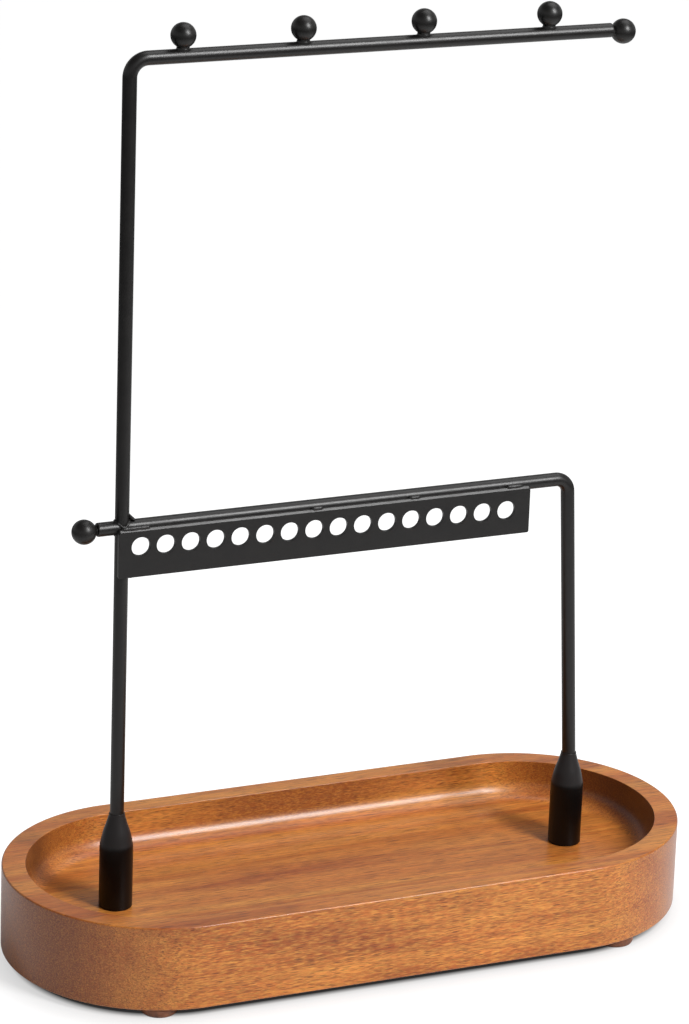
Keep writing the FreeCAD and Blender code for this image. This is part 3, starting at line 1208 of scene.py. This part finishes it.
@dataclass
class Welds:
    """The welds under the coat: fillets at the crossing and tacks along the strip."""

    finish: Material
    grain_mm: float = 0.10
    flow: tuple[float, int] = (0.5, 8)        # strength and rounds of the smoothing
    seam_beads_round: int = 40
    seam_bead_mm: float = 0.42
    seam_inset: float = 0.97
    seam_uneven: Pair = (0.95, 1.05)
    seam_below_to: float = -0.5               # the leg's seam stops where the strip covers it
    gusset_mm: tuple[Pair, ...] = ((0.10, 1.15), (0.35, 0.80), (0.65, 0.50), (1.10, 0.15))
    gusset_across_mm: tuple[float, ...] = (-0.7, -0.35, 0.0, 0.35, 0.7)
    gusset_bead_mm: float = 0.42
    tacks_mm: tuple[Pair, ...] = ((4.6, 7.6), (53.5, 3.0), (80.5, 3.0), (108.5, 4.5))
    tack_bead_mm: float = 0.58
    tack_pitch_mm: float = 0.42
    tack_rise_mm: float = 0.12
    tack_end: float = 0.75
    swell_kept: float = 0.7                   # from one bead of a tack to the next
    swell_added: float = 0.3
    swell_reach: float = 0.25
    corner_bead_mm: float = 0.80
    corner_mm: Pair = (0.1, 0.2)              # past the rod, and up from the strip's lower edge
    corner_back_mm: tuple[float, ...] = (0.3, 0.6, 0.9)
    seed: int = 5
    chance: random.Random = field(init=False)

    def __post_init__(self) -> None:
        """Read the rods' places, and seed the small unevenness of the beads."""
        self.chance = random.Random(self.seed)
        self.rod = size("left_leg").x / 2
        self.post_x = middle("left_leg").x
        self.cross_z = high("cross_rod").z - self.rod

    def run(self, name: str, node: str, beads: Sequence[tuple[Vector, float]]) -> None:
        """Lay beads of weld metal, let them flow together and coat them.

        Args:
            name: Name of the weld.
            node: Its solid.
            beads: Middle and radius of each bead.
        """
        ball = {"segments": 20, "ring_count": 12}
        weld = Workpiece(name, bpy.ops.mesh.primitive_uv_sphere_add, radius=beads[0][1],
                         location=beads[0][0], **ball)
        weld.mode("EDIT")
        for place, radius in beads[1:]:
            bpy.ops.mesh.primitive_uv_sphere_add(radius=radius, location=place, **ball)
        weld.modify("REMESH", mode="VOXEL", voxel_size=self.grain_mm * MM)
        weld.modify("SMOOTH", factor=self.flow[0], iterations=self.flow[1])
        weld.dress(self.finish, Slot.ROD, Body.FRAME, node, smooth_to=180.0)

    def seam_beads(self, sign: int) -> list[tuple[Vector, float]]:
        """Place the beads of a seam round the cross rod.

        Args:
            sign: 1 where the post meets the cross rod, -1 where the left leg does.

        Returns:
            Middle and radius of each bead.
        """
        beads = []
        for index in range(self.seam_beads_round):
            angle = 2 * math.pi * index / self.seam_beads_round
            along = self.rod * math.cos(angle)
            across = self.seam_inset * self.rod * math.sin(angle)
            if sign < 0 and across < self.seam_below_to * self.rod:
                continue
            rise = math.sqrt(self.rod ** 2 - across ** 2)
            place = Vector((self.post_x + along, across, self.cross_z + sign * rise))
            beads.append((place, self.seam_bead_mm * MM * self.chance.uniform(*self.seam_uneven)))
        return beads

    def gusset_beads(self) -> list[tuple[Vector, float]]:
        """Place the beads of the broad fillet in the corner between the post and the cross rod.

        Returns:
            Middle and radius of each bead.
        """
        corner = Vector((self.post_x + self.rod, 0, self.cross_z + self.rod))
        return [(corner + Vector((along, across, rise)) * MM, self.gusset_bead_mm * MM)
                for along, rise in self.gusset_mm for across in self.gusset_across_mm]

    def strip_beads(self) -> list[tuple[Vector, float]]:
        """Place the beads of the tacks on the strip's top edge, and of its lower left corner.

        Returns:
            Middle and radius of each bead.
        """
        left, right = low("earring_strip"), high("earring_strip")
        beads = []
        for centre, length in self.tacks_mm:
            count = round(length / self.tack_pitch_mm)
            swell = 0.0
            for index in range(count):
                along = (centre + length * ((index + 0.5) / count - 0.5)) * MM
                chance = self.chance.uniform(-self.swell_reach, self.swell_reach)
                swell = self.swell_kept * swell + self.swell_added * chance
                taper = self.tack_end if index in (0, count - 1) else 1.0
                beads.append((Vector((left.x + along, (left.y + right.y) / 2,
                                      right.z + self.tack_rise_mm * MM)),
                              self.tack_bead_mm * MM * taper * (1 + swell)))
        past, up = self.corner_mm
        return beads + [
            (Vector((self.post_x + self.rod + past * MM, right.y + back * MM, left.z + up * MM)),
             self.corner_bead_mm * MM) for back in self.corner_back_mm]

    def build(self) -> None:
        """Make the fillets and the tacks."""
        self.run("crossing_fillets", "joint_welds",
                 self.seam_beads(1) + self.seam_beads(-1) + self.gusset_beads())
        self.run("strip_tack_beads", "strip_tacks", self.strip_beads())


def dress_screws(finish: Material) -> None:
    """Plate the two base screws, whose solids already have their true shape.

    Args:
        finish: Material of the screws.
    """
    for node in ("base_screw_left", "base_screw_right"):
        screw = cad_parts[node]
        screw.data.materials.clear()
        screw.data.materials.append(finish)
        log.info("%s: solid kept, new finish", node)


# --- Studio ---


@dataclass(frozen=True)
class Softbox:
    """A rectangular studio light aimed at the stand, in metres and watts."""

    name: str
    direction: tuple[float, float, float]
    distance: float
    width: float
    height: float
    power: float

    def build(self, target: Vector) -> None:
        """Hang the light and aim it.

        Args:
            target: Place that it is aimed at.
        """
        data = bpy.data.lights.new(self.name, "AREA")
        data.shape = "RECTANGLE"
        data.size = self.width
        data.size_y = self.height
        data.energy = self.power
        lamp = bpy.data.objects.new(self.name, data)
        bpy.context.scene.collection.objects.link(lamp)
        away = Vector(self.direction).normalized()
        lamp.location = target + away * self.distance
        lamp.rotation_euler = away.to_track_quat("Z", "Y").to_euler()


@dataclass
class Studio:
    """Seamless white table, soft light and the camera.

    The white of the backdrop and the table is for the eye alone: only shares of it light the stand
    or show in its gloss, and the table's shadow is seen lighter than it is. Places are in metres.
    """

    camera_place: tuple[float, float, float] = (-0.43395, -0.98903, 0.50273)
    azimuth: float = 23.52
    pitch: float = 19.74
    roll: float = 2.015
    lens: float = 158.39
    sensor: float = 36.0
    table_side: float = 9.0
    world_light: float = 0.11
    backdrop_mirrored: float = 0.55
    room_mirrored: float = 0.12
    backdrop_top: Pair = (0.35, 0.60)         # how steeply up the backdrop ends, from and to
    table_mirrored: float = 0.10
    sheet: str = "#f0f0f0"
    # Painted shadow close under the tray: a dark sheet colour, a faint glow, and where they fade
    # out
    painted_contact_shadow: str = "#161616"
    dark_studio: str = "#303030"
    sheet_end: float = 0.5
    sheet_between: Pair = (0.006, 0.30)
    shade_glow: float = 0.025
    near_glow: float = 0.62
    seen_shadow: float = 0.34
    shade_edge: Pair = (-0.0038, -0.0014)
    far_edge: Pair = (-0.0014, 0.016)
    softboxes: tuple[Softbox, ...] = (
        Softbox("key_front_right", (0.36, -0.70, 0.62), 1.2, 0.28, 0.50, 14.2),
        Softbox("overhead", (0.38, 0.14, 0.92), 1.3, 1.0, 1.0, 6.0),
    )

    def camera(self) -> None:
        """Set the camera at the viewing angle."""
        data = bpy.data.cameras.new("camera")
        data.sensor_fit = "VERTICAL"
        data.sensor_height = self.sensor
        data.lens = self.lens
        camera = bpy.data.objects.new("camera", data)
        bpy.context.scene.collection.objects.link(camera)
        turn = (Matrix.Rotation(-math.radians(self.azimuth), 4, "Z")
                @ Matrix.Rotation(math.pi / 2 - math.radians(self.pitch), 4, "X")
                @ Matrix.Rotation(math.radians(self.roll), 4, "Z"))
        camera.matrix_world = Matrix.Translation(self.camera_place) @ turn
        bpy.context.scene.camera = camera

    def background_rays(self, tree: NodeTree, mirrored: object) -> NodeSocket:
        """White for camera and transmission rays, and a share of it for glossy rays.

        Args:
            tree: Node tree that takes the nodes.
            mirrored: Share of the white that gloss on the stand shows.

        Returns:
            The background's strength for the ray, nought for a ray that only lights.
        """
        seen, passed, gloss = (add(tree, "LightPath", out=f"Is {ray} Ray")
                               for ray in ("Camera", "Transmission", "Glossy"))
        seen = add(tree, "Math", (seen, passed), operation="MAXIMUM")
        gloss = add(tree, "Math", (gloss, mirrored), operation="MULTIPLY")
        return add(tree, "Math", (seen, gloss), operation="MAXIMUM")

    def world(self) -> None:
        """White backdrop with a little even light from all round."""
        world = bpy.data.worlds.new("studio")
        world.use_nodes = True
        tree = world.node_tree
        tree.nodes.clear()
        height = add(tree, "SeparateXYZ", (add(tree, "TexCoord", out="Generated"),), "Z")
        mirrored = add(tree, "MapRange", (height, *self.backdrop_top, self.backdrop_mirrored,
                                          self.room_mirrored))
        strength = add(tree, "Math", (self.background_rays(tree, mirrored), self.world_light),
                       operation="MAXIMUM")
        light = add(tree, "Background", {"Color": (1, 1, 1, 1), "Strength": strength})
        add(tree, "OutputWorld", (light,))
        bpy.context.scene.world = world

    def distance_from_tray(self, tree: NodeTree) -> NodeSocket:
        """Measure how far a place on the table is from the tray's oval outline.

        Args:
            tree: Node tree that takes the nodes.

        Returns:
            The distance, less than zero inside the outline.
        """
        length, width, _ = size("tray")
        place = add(tree, "TexCoord", out="Object")
        x, y = (add(tree, "SeparateXYZ", (place,), axis) for axis in "XY")
        along = add(tree, "Math", (x,), operation="ABSOLUTE")
        past = add(tree, "Math", (along, (length - width) / 2), operation="SUBTRACT")
        past = add(tree, "Math", (past, 0.0), operation="MAXIMUM")
        reach = add(tree, "VectorMath", (add(tree, "CombineXYZ", (past, y)),), "Value",
                    operation="LENGTH")
        return add(tree, "Math", (reach, width / 2), operation="SUBTRACT")

    def table(self) -> None:
        """Lay the white sheet, which keeps the stand's shadow close to the tray.

        Close under the tray's outline a painted shadow darkens its colour and dims its glow. It
        ends in the dark of the studio for the light that it gives back, is plain white to the
        camera beyond that, and shows the camera only a part of its shadow.
        """
        bpy.ops.object.select_all(action="DESELECT")
        bpy.ops.mesh.primitive_plane_add(size=self.table_side)
        table = bpy.context.active_object
        table.name = "table"
        material = bpy.data.materials.new("table_white_matte")
        material.use_nodes = True
        tree = material.node_tree
        tree.nodes.clear()
        away = self.distance_from_tray(tree)
        # Painted shadow: close under the tray the white glow fades nearly out
        near = add(tree, "MapRange", (away, *self.shade_edge, self.shade_glow, self.near_glow))
        far = add(tree, "MapRange", (away, *self.far_edge, 0.0, 1.0 - self.near_glow))
        white = add(tree, "Math", (near, far), operation="ADD")
        glow = add(tree, "Math", (self.background_rays(tree, self.table_mirrored), white),
                   operation="MULTIPLY")
        outward = add(tree, "MapRange", (away, self.shade_edge[0], self.sheet_end))
        start, stop = self.sheet_between
        # Painted shadow: the sheet's own colour turns dark close under the tray
        paper = add(tree, "ValToRGB", (outward,), stops=(
            (0.0, self.painted_contact_shadow), (start, self.sheet), (stop, self.sheet),
            (1.0, self.dark_studio)))
        share = add(tree, "MapRange", (add(tree, "LightPath", out="Is Camera Ray"), 0.0, 1.0, 1.0,
                                       self.seen_shadow))
        paper = add(tree, "BsdfDiffuse", (layers(tree, paper, ("MULTIPLY", 1.0, share)),))
        lift = add(tree, "Emission", {"Strength": glow})
        add(tree, "OutputMaterial", (add(tree, "AddShader", (paper, lift)),))
        table.data.materials.append(material)

    def build(self) -> None:
        """Set up the whole studio."""
        self.camera()
        self.world()
        self.table()
        target = (Vector(CAD_BOX[0]) + Vector(CAD_BOX[1])) / 2
        for softbox in self.softboxes:
            softbox.build(target)
        bpy.context.scene.view_settings.view_transform = "Standard"


def main() -> None:
    """Build the stand from the tray up, then the studio round it."""
    logging.basicConfig(level=logging.INFO, format="%(name)s: %(message)s")
    rods, balls, strip = (
        BlackCoat(f"steel_powder_coat_{part}", colour, "#141211", roughness, gloss=0.46).build()
        for part, colour, roughness in (("rods", "#0e0c0c", 0.36), ("balls", "#0e0d0c", 0.38),
                                        ("strip", "#0e0c0c", 0.40)))
    # The ferrules get a painted sheen: paler above the shoulder, where the cone catches light
    ferrules = BlackCoat("steel_matt_black_ferrules", "#030202", "#060505", 0.38, gloss=0.25,
                         painted_sheen="#232020", painted_sheen_above=low("ferrule_left").z + SHOULDER).build()
    RingTray(LacqueredAcacia().build()).build()
    Feet(BrownSilicone().build()).build()
    Ferrules(ferrules).build()
    dress_screws(ZincScrew().build())
    FrameRods(rods).build()
    Knobs(balls).build()
    EarringStrip(strip).build()
    Welds(rods).build()
    Studio().build()


if __name__ == "__main__":
    main()
